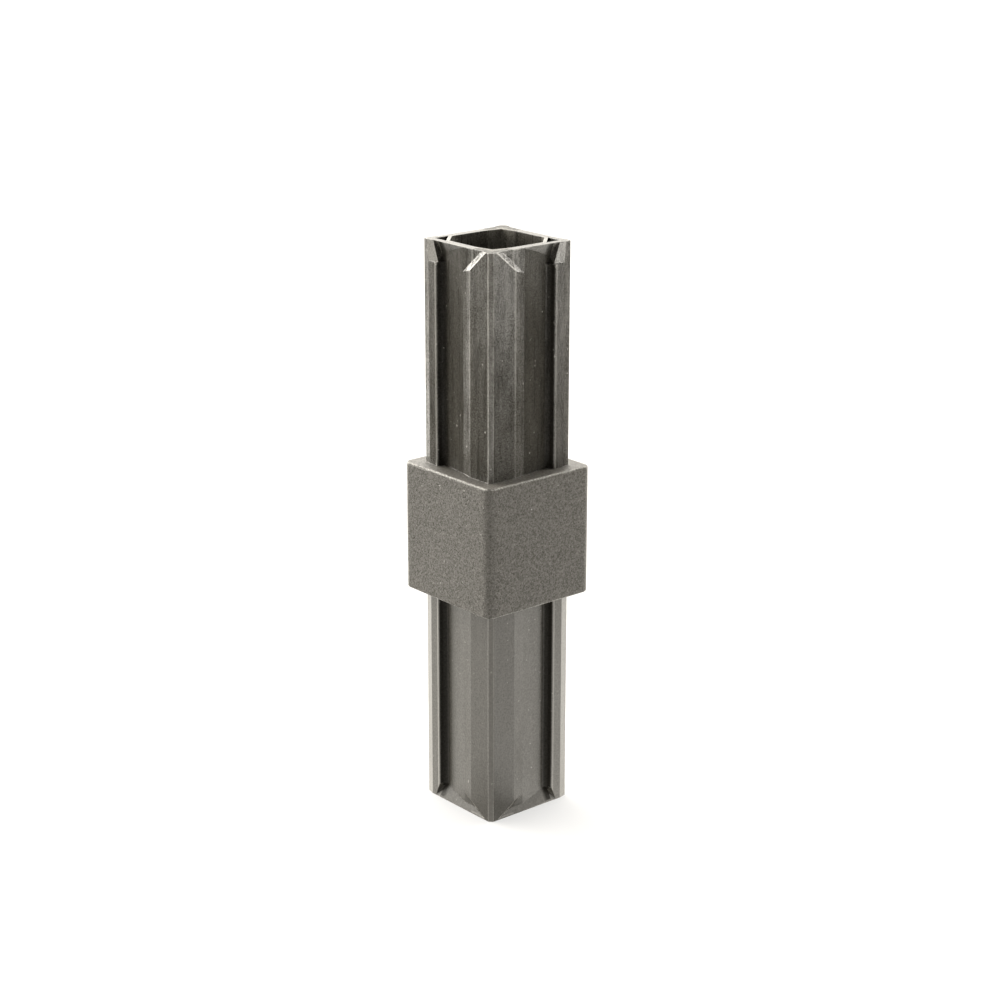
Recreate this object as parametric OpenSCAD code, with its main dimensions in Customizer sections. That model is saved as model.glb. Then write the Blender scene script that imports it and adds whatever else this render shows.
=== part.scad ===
// Straight connector for square tube, moulded in one piece: a square block with a
// hollow leg above and below it, each pressed into the end of a tube.
// The origin is the centre of the block, and +Z runs along the legs.

/* [Tube] */
// Outside width of the square tube, which the block matches
tube_w = 20; // [18:0.5:30]
// Wall of the tube
tube_wall = 2; // [1.4:0.1:2.4]
// Play between a leg and the inside of the tube, over the whole width
fit_play = 0.3; // [0.1:0.05:0.6]

/* [Block] */
// Height of the block, which shows between the two tube ends
block_h = 20; // [10:1:40]
// Radius of the block's upright edges
upright_edge_r = 1.25; // [0.6:0.05:2]
// Radius of the block's level edges
level_edge_r = 0.35; // [0.1:0.05:0.5]

/* [Legs] */
// Length of each leg, from the block to its open end
leg_l = 34; // [18:1:60]
// Chamfer on the two upright corners of a leg that the wide pads share
leg_chamfer = 0.55; // [0.3:0.05:0.8]
// Width of the bevel on each face towards the other two corners, where the mould parts
side_bevel_w = 1.6; // [1:0.1:2]
// How far that bevel falls, down to a sharp corner
side_bevel_d = 0.3; // [0.1:0.05:0.5]
// Width of a wide pad on each face, from the corner; the mould opens over these corners
wide_pad = 4.7; // [4:0.1:5.4]
// Width of a narrow pad on each face, from the corner; the mould parts at these corners
narrow_pad = 3.4; // [2.8:0.1:3.9]
// Chamfer along the edge between that pad and its wall
pad_chamfer = 0.15; // [0.05:0.05:0.3]

/* [Recess between two pads] */
// Depth of the recess beside the narrow pad
recess_d = 1.2; // [0.9:0.05:1.4]
// Width of the slope that leads down from the wide pad
slope_w = 2.1; // [1.6:0.1:2.5]
// Depth at the foot of that slope
slope_d = 0.5; // [0.3:0.05:0.7]
// Angle between the face of a leg and the wall of a narrow pad
wall_angle = 70; // [50:5:80]
// Fillet between that wall and the floor of the recess
wall_r = 0.8; // [0.4:0.1:1.2]
// Fillet between the recess and the block
root_r = 0.6; // [0.2:0.1:0.8]

/* [Leading end of the upper leg] */
// Length over which the upper leg's pads are pointed and its recesses run out
upper_lead = 3.1; // [1.5:0.1:5]
// Width left of a wide pad at the end of the upper leg
upper_wide_tip = 1.1; // [0.8:0.1:2.5]
// Width of a narrow pad's foot where its point begins
upper_foot_start = 3.25; // [2.6:0.05:3.3]
// Width of a narrow pad's foot at the end of the upper leg
upper_foot_tip = 2.25; // [1.9:0.05:2.6]
// Width of a narrow pad's flat where its point begins
flat_start = 1.7; // [1.4:0.1:2.2]
// Width of a narrow pad's flat at the end of the upper leg
flat_tip = 0.9; // [0.7:0.1:1.4]
// How deep the slope beside that flat falls for each millimetre across the leg
flat_slope = 0.22; // [0.1:0.02:0.3]
// Depth of a recess where it runs out at the end of the upper leg
upper_rim_d = 0.4; // [0.2:0.05:0.8]

/* [Leading end of the lower leg] */
// Length over which the lower leg's pads are pointed and its recesses run out
lower_lead = 2.2; // [1.5:0.1:5]
// Width left of a wide pad at the end of the lower leg
lower_wide_tip = 1.2; // [0.8:0.1:2.5]
// Width of a narrow pad where its point begins
lower_foot_start = 3.3; // [2.8:0.1:3.6]
// Width of a narrow pad at the end of the lower leg
lower_foot_tip = 2.4; // [1.8:0.1:3]
// Length of plain leg left between the recesses and the end of the lower leg
lower_rim_l = 0.15; // [0.05:0.05:0.5]

/* [Slopes at the leading ends] */
// Width of the slope along the point of a pad, down to the depth of the long slope
point_slope_w = 1.45; // [1.2:0.05:2]

/* [Hollow] */
// Wall between the hollow and the deepest part of a recess
core_wall = 0.6; // [0.5:0.05:1.2]
// Wall left across the middle of the block, between the two hollows
partition_t = 3; // [1.5:0.5:8]
// Length of the thickened corner along each wall of the hollow, behind the wide pads
corner_flat = 3.5; // [2.5:0.1:4]
// How far the thickened corner stands in from the hollow's walls
corner_in = 0.6; // [0.2:0.05:0.8]
// How far the hollow is cut off at its other two corners, along each wall
corner_cut = 2.5; // [2:0.1:3]
// Thickness of the web between the hollow and a corner pocket
web_t = 0.5; // [0.4:0.05:0.8]
// Wall between a corner pocket and the outside of the narrow pads
pocket_wall = 1.4; // [1.2:0.05:1.6]
// Depth of a corner pocket from the open end
pocket_l = 14; // [6:1:16]

/* [Hidden] */

$fn = 96;
leg_w = tube_w - 2 * tube_wall - fit_play;
long_slope = slope_d / slope_w;
point_slope = slope_d / point_slope_w;
wall_slope = tan(wall_angle);
// How far a cutting shape reaches past the surface that it cuts. Shapes that are
// combined reach out by different amounts, so that no two of them end flush.
over = 1;
slope_over = 2 * over;
floor_over = 3 * over;
run_out_over = 4 * over;
// How far the arcs at a recess's ends lie below its floor, so that they meet it at an edge
arc_sink = 0.05;
// The same for the fillet at the foot of a narrow pad's wall
fillet_sink = 0.02;
// A length that reaches right across or along a leg
reach = leg_w + leg_l;
// The floor of a recess falls away evenly from the foot of the long slope to the foot
// of the narrow pad's wall
floor_x = wide_pad + slope_w;
wall_x = leg_w - narrow_pad;
floor_fall = (recess_d - slope_d) / (wall_x - recess_d / wall_slope - floor_x);
// Depth of the arcs at a recess's ends, and where it lies in their shifted outline
arc_d = recess_d + arc_sink;
run_out_x = arc_d + run_out_over;
// Half the width of the hollow
hollow_half = leg_w / 2 - recess_d - core_wall;
plastic = "dimgray";

// Rectangle about the origin with its four corners rounded
module rounded_square(w, h, r) {
  for (x = [-1, 1], y = [-1, 1])
    translate([x * (w / 2 - r), y * (h / 2 - r)]) circle(r);
  square([w - 2 * r, h], center = true);
  square([w, h - 2 * r], center = true);
}

// Upright corner of the block, with its ends rounded over
module block_corner() {
  rotate_extrude()
    intersection() {
      rounded_square(2 * upright_edge_r, block_h, level_edge_r);
      translate([0, -block_h / 2]) square([upright_edge_r, block_h]);
    }
}

// Slab between two pairs of upright corners, with its level edges rounded over
module block_slab() {
  rotate([90, 0, 90])
    linear_extrude(tube_w - 2 * upright_edge_r, center = true)
      rounded_square(tube_w, block_h, level_edge_r);
}

module block() {
  corner = tube_w / 2 - upright_edge_r;
  for (x = [-1, 1], y = [-1, 1])
    translate([x * corner, y * corner, 0]) block_corner();
  block_slab();
  rotate([0, 0, 90]) block_slab();
}

// The space over a slope whose top edge is the line from a to b on the face of a leg.
// It lies on the right of that line, and is extended past both ends of it. The rate is
// how deep the slope falls for each millimetre across the leg.
module slope_space(a, b, rate) {
  turn = atan2(b.x - a.x, b.y - a.y);
  fall = rate / abs(cos(turn));
  translate([a.x, 0, a.y])
    rotate([0, turn, 0])
      translate([0, 0, -reach])
        linear_extrude(2 * reach)
          polygon([[-slope_over / fall, -slope_over], [reach, -slope_over], [reach, reach * fall]]);
}

// The space over both slopes of a wide pad, the long one and the one along its point
module wide_pad_space(lead, wide_tip) {
  lead_z = leg_l - lead;
  slope_space([wide_pad, 0], [wide_pad, leg_l], long_slope);
  slope_space([wide_pad, lead_z], [wide_tip, leg_l], point_slope);
}

// The space over the floor of a recess, all along the leg
module floor_space() {
  far_x = leg_w + over;
  linear_extrude(leg_l + floor_over)
    polygon([
      [-over, -floor_over], [-over, slope_d], [floor_x, slope_d],
      [far_x, slope_d + floor_fall * (far_x - floor_x)], [far_x, -floor_over]
    ]);
}

// The space beside the wall of a narrow pad, all along the leg, with the chamfer at the
// top of the wall and the fillet at its foot
module wall_space() {
  tilt = atan(floor_fall);
  half_angle = (180 - wall_angle - tilt) / 2;
  middle = (tilt - 180 - wall_angle) / 2;
  foot_d = recess_d + fillet_sink;
  foot = [wall_x - foot_d / wall_slope, foot_d];
  run = wall_r / tan(half_angle);
  centre = foot + wall_r / sin(half_angle) * [cos(middle), sin(middle)];
  under_chamfer = [wall_x - pad_chamfer / wall_slope, pad_chamfer];
  chamfer_reach = (slope_over + pad_chamfer) * (1 + 1 / wall_slope);
  translate([0, 0, -over])
    linear_extrude(leg_l + 3 * over) {
      polygon([
        [-over, -slope_over], [under_chamfer.x + chamfer_reach, -slope_over], under_chamfer,
        foot + run * [cos(wall_angle), -sin(wall_angle)],
        foot - run * [cos(tilt), sin(tilt)], [-over, recess_d + over]
      ]);
      translate(centre) circle(wall_r);
    }
}

// The space beside the point of a narrow pad: the wall stands further back here, and on
// the upper leg a slope leads down to it from the pad's flat
module point_space(lead, foot_start, foot_tip, has_slope) {
  lead_z = leg_l - lead;
  intersection() {
    translate([-over, -over, lead_z]) cube([leg_w + 2 * over, leg_w / 2, lead + over]);
    union() {
      slope_space([leg_w - foot_tip, leg_l], [leg_w - foot_start, lead_z], wall_slope);
      if (has_slope)
        slope_space([leg_w - flat_tip, leg_l], [leg_w - flat_start, lead_z], flat_slope);
    }
  }
}

// The space over the recess as seen from its side, with a fillet at the block. The
// child is its outline over the lead. All its outlines are shifted by run_out_over.
module run_out_space(lead) {
  lead_z = leg_l - lead;
  translate([-run_out_over, 0, 0])
    rotate([90, 0, 90])
      linear_extrude(leg_w + 2 * run_out_over)
        translate([-run_out_over, 0]) {
          translate([0, root_r]) square([run_out_x + run_out_over, lead_z - root_r]);
          square([run_out_x - root_r, lead_z]);
          translate([run_out_x - root_r, root_r]) circle(root_r);
          children();
        }
}

// The end of the upper leg's recess: an arc brings its floor out towards the face
module arc_end() {
  rise = arc_d - upper_rim_d;
  arc_r = (upper_lead * upper_lead + rise * rise) / (2 * rise);
  lead_z = leg_l - upper_lead;
  intersection() {
    translate([run_out_x - arc_r, lead_z]) circle(arc_r);
    translate([0, lead_z - over]) square([run_out_x, upper_lead + 2 * over]);
  }
}

// The end of the lower leg's recess: a ramp brings its floor out to the face
module ramp_end() {
  lead_z = leg_l - lower_lead;
  ramp_l = lower_lead - lower_rim_l;
  polygon([
    [0, lead_z - over], [run_out_x, lead_z - over], [run_out_x, lead_z],
    [0, lead_z + ramp_l * run_out_x / arc_d]
  ]);
}

// One recess in the face of a leg that stands on z = 0. The face is y = 0, its wide
// pad begins at x = 0, and the leg lies on the side of +y.
module upper_recess() {
  intersection() {
    floor_space();
    run_out_space(upper_lead) arc_end();
    wide_pad_space(upper_lead, upper_wide_tip);
    union() {
      wall_space();
      point_space(upper_lead, upper_foot_start, upper_foot_tip, true);
    }
  }
}

module lower_recess() {
  intersection() {
    floor_space();
    run_out_space(lower_lead) ramp_end();
    wide_pad_space(lower_lead, lower_wide_tip);
    union() {
      wall_space();
      point_space(lower_lead, lower_foot_start, lower_foot_tip, false);
    }
  }
}

// Outline of a leg: chamfered where the wide pads meet, bevelled to a sharp corner where
// the narrow pads do
module leg_outline() {
  a = leg_w / 2;
  bevel = a - side_bevel_w;
  corner = a - side_bevel_d;
  flat = a - leg_chamfer;
  polygon([
    [-flat, -a], [bevel, -a], [corner, -corner], [a, -bevel], [a, flat], [flat, a],
    [-bevel, a], [-corner, corner], [-a, bevel], [-a, -flat]
  ]);
}

// The outside of a leg that stands on z = 0 and is sunk into the block below. The
// child is its recess.
module leg() {
  difference() {
    translate([0, 0, -over]) linear_extrude(leg_l + over) leg_outline();
    for (turn = [0, 180])
      rotate([0, 0, turn]) {
        translate([-leg_w / 2, -leg_w / 2, 0]) children();
        mirror([1, -1, 0]) translate([-leg_w / 2, -leg_w / 2, 0]) children();
      }
  }
}

// Half of the hollow's outline, on one side of the diagonal through the cut corners
module hollow_half_outline() {
  a = hollow_half;
  inner = a - corner_in;
  polygon([
    [-a + corner_cut, a], [-a, a - corner_cut], [-a, -a + corner_flat], [-inner, -inner],
    [-a + corner_flat, -a], [a - corner_cut, -a], [a, -a + corner_cut]
  ]);
}

// Corner pocket beyond the web, with its right angle towards the corner of the leg
module pocket_outline() {
  side = leg_w / 2 - pocket_wall;
  web_edge = 2 * hollow_half - corner_cut + web_t * sqrt(2);
  polygon([[side, -side], [side, side - web_edge], [web_edge - side, -side]]);
}

// All that is cored out of a leg from its open end, in the connector's own frame
module core() {
  translate([0, 0, partition_t / 2])
    linear_extrude(block_h / 2 + leg_l - partition_t / 2 + over)
      for (turn = [0, 180]) rotate(turn) hollow_half_outline();
  translate([0, 0, block_h / 2 + leg_l - pocket_l])
    linear_extrude(pocket_l + over)
      for (turn = [0, 180]) rotate(turn) pocket_outline();
}

module connector() {
  color(plastic)
    difference() {
      union() {
        block();
        translate([0, 0, block_h / 2]) leg() upper_recess();
        mirror([0, 0, 1]) translate([0, 0, block_h / 2]) leg() lower_recess();
      }
      core();
      mirror([0, 0, 1]) core();
    }
}

connector();
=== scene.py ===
import math
import bpy
from mathutils import Matrix, Vector


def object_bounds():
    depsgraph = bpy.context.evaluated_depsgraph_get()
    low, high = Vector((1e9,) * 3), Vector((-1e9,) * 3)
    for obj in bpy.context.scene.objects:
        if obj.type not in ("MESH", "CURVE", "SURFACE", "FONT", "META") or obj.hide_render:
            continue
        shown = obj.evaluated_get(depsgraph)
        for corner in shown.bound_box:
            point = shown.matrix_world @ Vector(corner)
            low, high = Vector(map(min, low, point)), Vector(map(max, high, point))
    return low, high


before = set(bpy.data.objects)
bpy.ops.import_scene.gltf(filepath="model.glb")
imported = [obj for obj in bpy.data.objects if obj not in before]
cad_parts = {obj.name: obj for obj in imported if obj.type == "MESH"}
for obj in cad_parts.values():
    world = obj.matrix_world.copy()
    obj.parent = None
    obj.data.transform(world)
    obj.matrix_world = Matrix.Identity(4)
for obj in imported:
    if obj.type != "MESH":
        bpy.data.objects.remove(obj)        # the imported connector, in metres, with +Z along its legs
from types import SimpleNamespace

cadLow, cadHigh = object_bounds()    # the CAD box, before anything is dressed
mm = 0.001
print("frame loaded")


class Wire:    # a socket of a node tree; arithmetic on it adds Math nodes
    def __init__(self, tree, socket=None):
        self.tree = tree
        self.socket = socket

    def node(self, kind, settings=None, inputs=None, output=0):    # any node, settings first
        made = self.tree.nodes.new(kind)
        for name, value in (settings or {}).items():
            if name == "stops":    # a ramp's list of (position, grey or colour)
                ramp = made.color_ramp
                while len(ramp.elements) < len(value):
                    ramp.elements.new(1)
                for element, (place, shade) in zip(ramp.elements, value):
                    element.position = place
                    element.color = shade if isinstance(shade, tuple) else (shade, shade, shade, 1)
            else:
                setattr(made, name, value)
        for name, value in (inputs or {}).items():
            if isinstance(value, Wire):
                self.tree.links.new(value.socket, made.inputs[name])
            else:
                made.inputs[name].default_value = value
        return Wire(self.tree, made.outputs[output] if made.outputs else None)

    def math(self, operation, *others):
        inputs = {0: self}
        for place, other in enumerate(others, 1):
            inputs[place] = other
        return self.node("ShaderNodeMath", {"operation": operation}, inputs)

    def __add__(self, other):
        return self.math("ADD", other)

    def __mul__(self, other):
        return self.math("MULTIPLY", other)

    def __sub__(self, other):
        return self.math("SUBTRACT", other)

    def __rsub__(self, other):    # a number minus this socket
        return self.node("ShaderNodeMath", {"operation": "SUBTRACT"}, {0: other, 1: self})

    def __truediv__(self, other):
        return self.math("DIVIDE", other)

    __radd__ = __add__
    __rmul__ = __mul__

    def size(self):    # without its sign
        return self.math("ABSOLUTE")

    def most(self, other):
        return self.math("MAXIMUM", other)

    def step(self, low, high):    # 0 below low, 1 above high, smooth between
        return self.node("ShaderNodeMapRange", {"interpolation_type": "SMOOTHSTEP"},
                         {"Value": self, "From Min": low, "From Max": high})

    def past(self, value, blur):    # 0 below a value, 1 above it
        return self.step(value - blur, value + blur)

    def between(self, low, high):    # low where this is 0, high where it is 1
        return self * (high - low) + low

    def parts(self):    # the three numbers of a vector
        split = self.node("ShaderNodeSeparateXYZ", {}, {0: self})
        return [Wire(self.tree, socket) for socket in split.socket.node.outputs]

    def scale(self, amount):    # a vector or colour times a number
        return self.node("ShaderNodeVectorMath", {"operation": "SCALE"}, {0: self, "Scale": amount})

    def colour(self, value):    # the same colour all over
        made = self.node("ShaderNodeRGB")
        made.socket.default_value = value
        return made

    def held(self):    # kept between 0 and 1
        return self.node("ShaderNodeClamp", {}, {0: self})

    def near(self, value, reach):    # 1 at a value, 0 further from it than the reach
        return 1 - (self - value).size().step(reach * 0.5, reach)

    def stretch(self, x, y, z):    # coordinates scaled along each axis
        return self.node("ShaderNodeVectorMath", {"operation": "MULTIPLY"}, {0: self, 1: (x, y, z)})

    def tint(self, other, amount):    # this colour mixed towards another by an amount
        return self.node("ShaderNodeMix", {"data_type": "RGBA"},
                         {"Factor": amount, 6: self, 7: other}, output=2)

    def noise(self, scale, detail=2.0, roughness=0.5):    # self is a coordinate
        return self.node("ShaderNodeTexNoise", {},
                         {"Vector": self, "Scale": scale, "Detail": detail, "Roughness": roughness})


def newTree(owner):    # an empty node tree to build in
    owner.use_nodes = True
    owner.node_tree.nodes.clear()
    return Wire(owner.node_tree)


# Camera, where the photograph was taken from
camera = {
    "place": (-212.8 * mm, -251.8 * mm, 108.8 * mm),
    "aim": (0.35 * mm, -0.29 * mm, 4.16 * mm),
    "roll": 0.07,    # degrees
    "lens": 82.6,    # mm, on a 36 mm sensor
}


def addCamera():
    data = bpy.data.cameras.new("camera")
    data.lens = camera["lens"]
    data.sensor_width = 36
    data.clip_start = 0.01
    data.clip_end = 20
    item = bpy.data.objects.new("camera", data)
    bpy.context.scene.collection.objects.link(item)
    place, aim = Vector(camera["place"]), Vector(camera["aim"])
    turn = (aim - place).to_track_quat("-Z", "Y").to_matrix().to_4x4()
    roll = Matrix.Rotation(math.radians(camera["roll"]), 4, "Z")
    item.matrix_world = Matrix.Translation(place) @ turn @ roll
    bpy.context.scene.camera = item
    print("camera set")
    return item


# Light: a white backdrop lit from behind, darker on the camera's side; each list goes
# once round the connector in steps of 30 degrees, from straight behind by the left.
# Most of these numbers come from a fit to the photograph's brightness, the rest are given
light = {
    "low": (1.8, 12.4, 19.2, 7.7, 0, 1.3, 0, 0, 0, 3.5, 9.1, 6.4),    # up to 36 degrees high
    "high": (5.5, 5.5, 5.0, 1.6, 0, 0.3, 0.3, 0.3, 0, 0.7, 4.2, 5.2),
    "above": 6.0,
    "near": (4.3, 5.0, 2.3, 2.5, 1.6, 1.0, 1.3, 1.0, 3.1, 2.4, 4.1, 4.1),    # what the table sends up
    "far": (9.1, 14.1, 0, 0, 0, 1.2, 2.6, 1.2, 0, 0, 0.5, 5.1),
    "beyond": (4.1, 5.1, 0.1, 1.9, 0, 0.2, 0, 0.3, 10.6, 0, 2.6, 3.3),
    "nearEnds": 140 * mm,
    "farEnds": 320 * mm,
    "tint": (1, 0.965, 0.90, 1),
    "all": 1.0,         # brighter or darker as a whole
}


def lightRing(turn, values):    # one of the lists above, by the turn round the connector
    peak = max(values)
    stops = [(place / 12, value / peak) for place, value in enumerate(values + values[:1])]
    ring = turn.node("ShaderNodeValToRGB", {"stops": stops}, {0: turn})
    return ring * (peak * light["all"])


def turnRound(x, y, viewer):    # 0 straight behind, 0.25 left, 0.5 at the camera, 0.75 right
    flat = Vector((viewer.location.x, viewer.location.y)).normalized()
    ahead = x * flat.x + y * flat.y
    aside = y * flat.x - x * flat.y
    return aside.math("ARCTAN2", ahead) / (2 * math.pi) + 0.5


def addRoom(viewer):
    world = bpy.data.worlds.new("studio")
    bpy.context.scene.world = world
    w = newTree(world)
    way = w.node("ShaderNodeTexCoord")
    x, y, z = way.parts()
    turn = turnRound(x, y, viewer)
    low, high = lightRing(turn, light["low"]), lightRing(turn, light["high"])
    walls = low + (high - low) * z.step(0.5, 0.67)
    strength = walls + (light["above"] * light["all"] - walls) * z.step(0.95, 0.99)
    shade = w.node("ShaderNodeBackground", {}, {"Color": light["tint"], "Strength": strength})
    w.node("ShaderNodeOutputWorld", {}, {"Surface": shade})
    print("lights set")


# Table: plain and pale, as wide as the camera can see
table = {
    "half": 3.0,
    "paint": (0.24, 0.24, 0.24, 1),
    "glow": 0.55,       # light of its own that the camera sees
}


def addTable(viewer):
    h, z = table["half"], cadLow.z
    mesh = bpy.data.meshes.new("table")
    mesh.from_pydata([(-h, -h, z), (h, -h, z), (h, h, z), (-h, h, z)], [], [(0, 1, 2, 3)])
    item = bpy.data.objects.new("table", mesh)
    bpy.context.scene.collection.objects.link(item)
    finish = bpy.data.materials.new("table_paint")
    w = newTree(finish)
    place = w.node("ShaderNodeTexCoord", {}, {}, output="Object")
    x, y, z = place.parts()
    turn = turnRound(x, y, viewer)
    reach = (x * x + y * y).math("SQRT")
    near, far, beyond = [lightRing(turn, light[name]) for name in ("near", "far", "beyond")]
    nearFar = near + (far - near) * reach.step(light["nearEnds"] * 0.9, light["nearEnds"] * 1.1)
    sent = nearFar + (beyond - nearFar) * reach.step(light["farEnds"] * 0.9, light["farEnds"] * 1.1)
    lit = w.node("ShaderNodeBsdfPrincipled", {}, {
        "Base Color": (0, 0, 0, 1), "Specular IOR Level": 0.0,
        "Emission Color": w.colour(light["tint"]).scale(sent), "Emission Strength": 1.0,
    })
    plain = w.node("ShaderNodeBsdfPrincipled", {}, {
        "Base Color": table["paint"], "Roughness": 0.9, "Specular IOR Level": 0.0,
        "Emission Color": (1, 1, 1, 1), "Emission Strength": table["glow"],
    })
    seen = w.node("ShaderNodeLightPath", {}, {}, output="Is Camera Ray")
    both = w.node("ShaderNodeMixShader", {}, {0: seen, 1: lit, 2: plain})
    w.node("ShaderNodeOutputMaterial", {}, {"Surface": both})
    mesh.materials.append(finish)
    print("table laid")


# Connector: one dark grey plastic, spark-eroded on the block and drawn smooth on the legs
plastic = {
    "block": (0.050, 0.0455, 0.037, 1),
    "leg": (0.043, 0.040, 0.033, 1),
    "highlightsAndSpecks": (0.42, 0.41, 0.38, 1),      # pale colour of the painted edge highlights and of the pale specks
    "grain": 0.3,       # mm, size of the block's grain
    "blockRough": 0.6,
    "legRough": 0.28,
    "edge": 0.13 * mm,      # radius that moulding leaves on a sharp edge
    "padFace": 7.85,        # mm from the axis to the pads
    "wideEdge": 3.15,       # mm from a face's middle to its wide pad
    "slopeEdge": 1.05,
    "narrowEdge": -4.45,
    "bevelEdge": -6.25,
    "blockEnd": 10,
    "chamfer": 0.55,        # of the front and back corners
    "spotAcross": -4.55,    # a painted highlight spot at the foot of each narrow pad's point
    "spotHeight": 40.75,
    "bump": 0.06 * mm,
}

# Painted light and shade: how bright each part of the surface is made, by its share of the glossy over
# the dull copy of the plastic, to stand for how light falls there; 1 is the plain plastic, up to 1.75
paintedLight = {
    "block": 1.13,
    "shoulder": 1.5,
    "endWide": 1.1,         # the open end over its wide pads
    "end": 1.75,
    "wall": 0.38,           # the wall beside a narrow pad, painted dark as shade
    "inside": 1.2,
    "insideCorner": 1.4,
    "upperPadHigh": 1.14,   # wide pads at the open end
    "upperPadLow": 0.72,
    "upperFloorHigh": 0.9,
    "upperFloorLow": 0.52,
    "upperSlopeLeft": 0.68,
    "upperSlopeRight": 0.95,
    "upperNarrow": 1.2,
    "lowerPad": 1.03,
    "lowerSlope": 1.0,
    "lowerFloor": 1.15,
    "lowerNarrow": 1.3,
    "upperRim": 1.15,       # bevel along the outer side of a narrow pad
    "lowerRim": 1.75,
    "flank": 0.8,           # sloped sides of the points
    "narrowFlank": 1.5,
    "lowerFlank": 1.35,
    "rampLeft": 0.6,        # the lower recess where it rises to the end
    "rampRight": 1.15,
    "runOut": 1.15,         # the upper recess where it does
    "line": 1.7,            # painted highlight line on a narrow pad's inner edge
    "ridge": 0.55,          # painted highlight added along a wide pad's edge
    "cornerLine": 0.3,
    "crest": 0.35,
    "lowerFlankLeft": 0.2,  # painted shade taken off on the left face
}


# How strongly each kind of mark changes the glossy share, over the painted light and shade
marks = {
    "upperStreak": 0.5,
    "upperMottle": 1.4,
    "upperGrain": 1.0,
    "padGrain": 0.4,        # more of it on the upper wide pads
    "upperFine": 2.2,
    "upperHair": 0.1,
    "lowerStreak": 0.12,
    "lowerMottle": 0.2,
    "lowerGrain": 0.45,
    "lowerFine": 0.3,
    "blockGrain": 1.6,
    "blockFine": 1.7,
    "blockMottle": 0.15,
}

# How pale each place is painted, where 1 is the pale colour: painted highlights on edges, corners,
# lines, strips and flanks, and pale specks
pale = {
    "edgeHighlight": 0.5,
    "specks": 0.5,
    "specksUpper": 0.6,     # added on the upper leg
    "corner": 0.26,
    "cornerLine": 0.3,
    "ridge": 0.12,
    "line": 0.1,
    "lineLeft": 0.15,       # added on the left face
    "blockCorner": 0.13,
    "insideCorner": 0.14,
    "lowerFlank": 0.14,
    "vLine": 0.22,
    "vLineUpper": 0.3,
    "narrowFlank": 0.12,
    "narrowFlankLeft": 0.3,
    "rim": 0.15,
}


def regions(place, facing):    # where on the connector a point is, as numbers from 0 to 1
    x, y, z = place.parts()
    aroundX, aroundY, upright = facing.parts()
    downward = 0 - upright
    outward = x.size().most(y.size())
    diagonal = x.size() + y.size()
    across = x * y / outward.most(0.1)    # towards the wide pad on each face
    depth = plastic["padFace"] - outward
    on = SimpleNamespace()
    on.block = 1 - z.size().step(plastic["blockEnd"] - 0.01, plastic["blockEnd"] + 0.04)
    on.leg = 1 - on.block
    on.upper = z.step(-0.5, 0.5)
    on.lower = 1 - on.upper
    on.left = (y - x).step(-0.5, 0.5)
    on.high = z.step(12, 42)
    on.top = z.step(31, 42)
    on.ends = z.size().step(30, 31)
    on.level = upright.size().step(0.9, 0.97)
    sloped = (1 - on.level) * on.leg

    on.wide = across.past(plastic["wideEdge"], 0.05)
    on.slope = across.past(plastic["slopeEdge"], 0.1) * (1 - on.wide)
    on.narrow = 1 - across.past(plastic["narrowEdge"], 0.05)
    on.rim = 1 - across.past(plastic["bevelEdge"], 0.05)
    on.floor = (1 - on.narrow) * (1 - on.wide) * (1 - on.slope)
    # the wall beside a narrow pad, where painted shade goes
    on.wall = (1 - on.narrow) * (1 - across.step(-3.9, -3.0)) * depth.step(0.05, 0.15)
    on.inside = on.leg * (1 - outward.step(6.3, 6.4))
    alongWall = (aroundX * aroundY).size().step(0.3, 0.4)
    # bands inside the corners of the hollow, painted brighter as painted reflection
    on.insideCorner = on.inside * diagonal.step(8.8, 9.2) * (1 - alongWall)

    # Corners and lines that get painted highlights
    on.corner = on.leg * on.wide * diagonal.step(15.04, 15.12)
    chamferEnd = (x.size() - y.size()).near(plastic["chamfer"], 0.2)
    on.cornerLine = on.leg * on.wide * chamferEnd * diagonal.step(14.8, 15.0)
    on.blockCorner = on.block * diagonal.step(18.8, 19.25)
    on.blockEdge = on.block * z.size().step(9.72, 9.95) * outward.step(9.6, 9.85)
    lineAcross = across.step(plastic["narrowEdge"] - 0.45, plastic["narrowEdge"] - 0.35)
    on.line = on.narrow * lineAcross * depth.near(0, 0.1)
    onRidge = on.leg * across.near(plastic["wideEdge"], 0.26) * (1 - on.inside)
    on.ridge = onRidge * (z.step(8, 30) * 0.8 + 0.2)
    on.crest = on.slope * across.step(1.9, 2.5) * z.step(15, 40)
    aside = across - plastic["spotAcross"]
    above = z - plastic["spotHeight"]
    fromSpot = (aside * aside + above * above).math("SQRT")
    on.spot = (1 - fromSpot.step(0.2, 0.4)) * depth.near(0, 0.2)

    # Sloped faces at the ends of the legs
    on.flank = upright.step(0.2, 0.4) * sloped * (1 - depth.step(0.45, 0.6)) * (1 - on.floor)
    leaning = upright.step(0.02, 0.05) * (1 - upright.step(0.1, 0.2))
    on.narrowFlank = on.upper * on.narrow * leaning * (1 - on.inside)
    on.runOut = on.upper * downward.step(0.1, 0.3) * sloped
    on.lowerFlank = on.lower * downward.step(0.1, 0.3) * sloped
    on.ramp = on.lower * upright.step(0.2, 0.4) * sloped
    on.vLine = on.wide * (on.flank + on.lowerFlank) * depth.near(0.02, 0.14)

    # Where the edges of a leg get painted highlights
    on.exposed = on.leg * (1 - depth.step(0.5, 0.6)) * (1 - on.narrow * 0.8)
    on.exposed = on.exposed * (0.35 + on.upper * 0.65 + (0 - z).step(41, 41.5) * 0.65)
    return on


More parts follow.
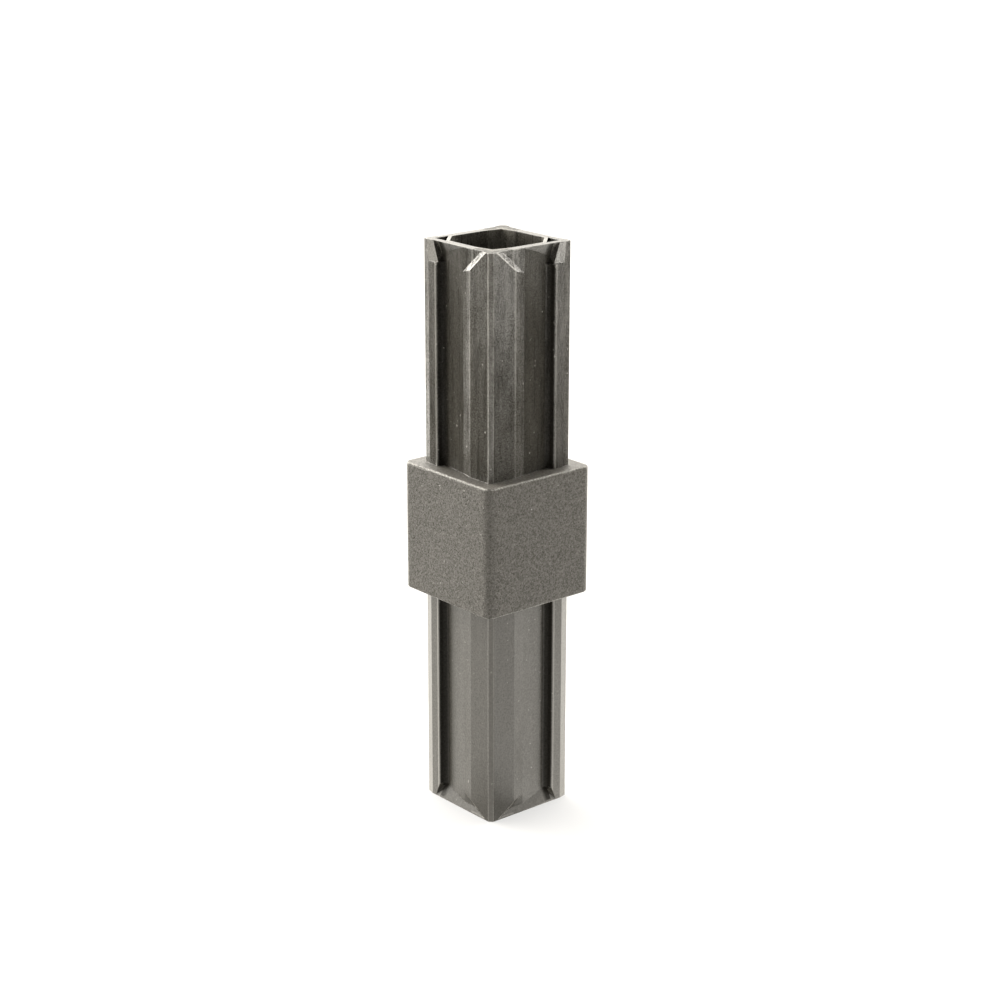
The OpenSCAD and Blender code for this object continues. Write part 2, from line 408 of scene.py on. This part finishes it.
def surfaceMarks(place):    # grain, drawn streaks, mottling and pale specks
    mark = SimpleNamespace()
    mark.grain = place.noise(1 / plastic["grain"], 2, 0.6) - 0.5
    mark.fine = place.noise(6.5, 1, 0.5) - 0.5
    mark.streak = place.stretch(1, 1, 0.07).noise(1.3, 2, 0.5) - 0.5
    mark.hair = place.stretch(1, 1, 0.06).noise(4.5, 1, 0.5) - 0.5
    mark.mottle = place.stretch(1, 1, 0.45).noise(0.6, 5, 0.68) - 0.5
    mark.specks = place.noise(1.9, 0, 0.5).step(0.8, 0.86) * (0.4 + mark.mottle * 2)
    return mark


def legPaintedLight(on):    # painted light and shade of each region of a leg
    upperPads = on.high.between(paintedLight["upperPadLow"], paintedLight["upperPadHigh"])
    upperFloors = on.top.between(paintedLight["upperFloorLow"], paintedLight["upperFloorHigh"])
    upperSlopes = on.left.between(paintedLight["upperSlopeRight"], paintedLight["upperSlopeLeft"])
    upperNarrows = on.rim.between(paintedLight["upperNarrow"], paintedLight["upperRim"])
    lowerNarrows = on.rim.between(paintedLight["lowerNarrow"], paintedLight["lowerRim"])
    leg = on.wide * on.upper.between(paintedLight["lowerPad"], upperPads)
    leg = leg + on.slope * on.upper.between(paintedLight["lowerSlope"], upperSlopes)
    leg = leg + on.floor * on.upper.between(paintedLight["lowerFloor"], upperFloors)
    leg = leg + on.narrow * on.upper.between(lowerNarrows, upperNarrows)
    leg = on.line.between(leg, paintedLight["line"])
    leg = leg + on.ridge * on.upper * paintedLight["ridge"] + on.cornerLine * paintedLight["cornerLine"]
    for region, value in (
        (on.flank, paintedLight["flank"]),
        (on.narrowFlank, paintedLight["narrowFlank"]),
        (on.runOut, paintedLight["runOut"]),
        (on.lowerFlank, paintedLight["lowerFlank"] - on.left * paintedLight["lowerFlankLeft"]),
        (on.ramp, on.left.between(paintedLight["rampRight"], paintedLight["rampLeft"])),
        (on.wall, paintedLight["wall"]),
    ):
        leg = region.between(leg, value)
    leg = leg + on.crest * paintedLight["crest"]
    leg = on.inside.between(leg, paintedLight["inside"])
    return on.insideCorner.between(leg, paintedLight["insideCorner"])


def paintedLightAll(on, mark):    # painted light and shade all over, with the marks on it
    upperMarks = mark.streak * marks["upperStreak"] + mark.mottle * marks["upperMottle"] \
        + mark.grain * (marks["upperGrain"] + on.wide * marks["padGrain"]) \
        + mark.fine * marks["upperFine"] + mark.hair * marks["upperHair"]
    lowerMarks = mark.streak * marks["lowerStreak"] + mark.mottle * marks["lowerMottle"] \
        + mark.grain * marks["lowerGrain"] + mark.fine * marks["lowerFine"]
    legMarks = on.upper * upperMarks * (1.05 + on.wide * 0.1 - on.floor * 0.4) + on.lower * lowerMarks
    blockMarks = mark.grain * marks["blockGrain"] + mark.fine * marks["blockFine"] \
        + mark.mottle * marks["blockMottle"]
    # painted light and shade on the block and legs, varied by the marks
    paintedBrightness = on.block * (blockMarks + 1) * paintedLight["block"] + on.leg * legPaintedLight(on) * (legMarks + 1)
    # the level shoulders and open ends are painted bright, as painted highlights
    legEnds = on.wide.between(paintedLight["end"], paintedLight["endWide"])
    levels = on.ends.between(paintedLight["shoulder"], legEnds)
    return on.level.between(paintedBrightness, levels * (1 + mark.grain))


def highlightsAndSpecksAmount(w, on, mark, widely):    # how far the colour is painted pale: painted highlights, and pale specks
    trueNormal = w.node("ShaderNodeNewGeometry", {}, {}, output="True Normal")
    turned = w.node("ShaderNodeVectorMath", {"operation": "DOT_PRODUCT"},
                    {0: widely, 1: trueNormal}, output="Value")
    # edges, found where the rounded normal turns, get painted highlights
    edge = on.exposed * (1 - turned.step(0.9, 0.995))
    # painted highlights along the edges and at the spots, varied by mottle and grain
    edgeHighlight = (edge * 0.8 + on.blockEdge * 1.1 + on.spot) * (0.75 + mark.mottle * 1.5 + mark.grain * 2)
    highlightsAndSpecks = edgeHighlight * pale["edgeHighlight"] + mark.specks * (pale["specks"] + on.upper * pale["specksUpper"])
    highlightsAndSpecks = highlightsAndSpecks + on.corner * pale["corner"] + on.blockCorner * pale["blockCorner"]
    highlightsAndSpecks = highlightsAndSpecks + on.upper * (on.cornerLine * pale["cornerLine"] + on.ridge * pale["ridge"])
    highlightsAndSpecks = highlightsAndSpecks + on.line * (pale["line"] + on.left * pale["lineLeft"])
    highlightsAndSpecks = highlightsAndSpecks + on.insideCorner * pale["insideCorner"] + on.lowerFlank * on.wide * pale["lowerFlank"]
    highlightsAndSpecks = highlightsAndSpecks + on.vLine * (pale["vLine"] + on.upper * pale["vLineUpper"])
    highlightsAndSpecks = highlightsAndSpecks + on.narrowFlank * (pale["narrowFlank"] + on.left * pale["narrowFlankLeft"])
    highlightsAndSpecks = highlightsAndSpecks + on.rim * on.lower * on.leg * pale["rim"]
    return highlightsAndSpecks.held()


def plasticFinish():
    finish = bpy.data.materials.new("moulded_plastic")
    w = newTree(finish)
    place = w.node("ShaderNodeTexCoord", {}, {}, output="Object").scale(1 / mm)
    facing = w.node("ShaderNodeTexCoord", {}, {}, output="Normal")
    rounded = w.node("ShaderNodeBevel", {"samples": 4}, {"Radius": plastic["edge"]})
    widely = w.node("ShaderNodeBevel", {"samples": 6}, {"Radius": plastic["edge"] * 2})
    on = regions(place, facing)
    mark = surfaceMarks(place)

    colour = w.colour(plastic["block"]).tint(w.colour(plastic["leg"]), on.leg)
    varied = 1 + mark.grain * 1.2 + on.upper * on.leg * mark.streak * 0.7
    # painted shade darkens the colour on the wall beside each narrow pad, and painted light doubles it
    # in the inside corners
    colour = colour.scale(varied * (1 - on.wall * 0.4) * (1 + on.insideCorner))
    colour = colour.tint(w.colour(plastic["highlightsAndSpecks"]), highlightsAndSpecksAmount(w, on, mark, widely))
    rough = on.block.between(plastic["legRough"], plastic["blockRough"])
    rough = rough + on.upper * on.leg * mark.streak * 0.06
    height = mark.grain * on.block + (mark.hair * on.upper * 0.03 + mark.grain * 0.3) * on.leg
    bumped = w.node("ShaderNodeBump", {}, {
        "Strength": 1.0, "Distance": plastic["bump"], "Height": height, "Normal": rounded,
    })
    # A darker dull copy and a glossy copy of the plastic, mixed below to paint light and shade
    dull = w.node("ShaderNodeBsdfPrincipled", {}, {
        "Base Color": colour.scale(0.6), "Roughness": 0.8, "Specular IOR Level": 0.0, "Normal": bumped,
    })
    glossy = w.node("ShaderNodeBsdfPrincipled", {}, {
        "Base Color": colour, "Roughness": rough, "Specular IOR Level": 1.0, "IOR": 1.5,
        "Normal": bumped,
    })
    share = ((paintedLightAll(on, mark) - 0.25) / 1.5).held()    # all dull at 0.25, all glossy at 1.75: this share is the painted light and shade
    both = w.node("ShaderNodeMixShader", {}, {0: share, 1: dull, 2: glossy})
    w.node("ShaderNodeOutputMaterial", {}, {"Surface": both})
    return finish


def dressConnector():
    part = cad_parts["connector"]
    part.data.materials.clear()
    part.data.materials.append(plasticFinish())
    print("connector dressed")


viewer = addCamera()
addRoom(viewer)
addTable(viewer)
dressConnector()
bpy.context.scene.view_settings.view_transform = "Standard"
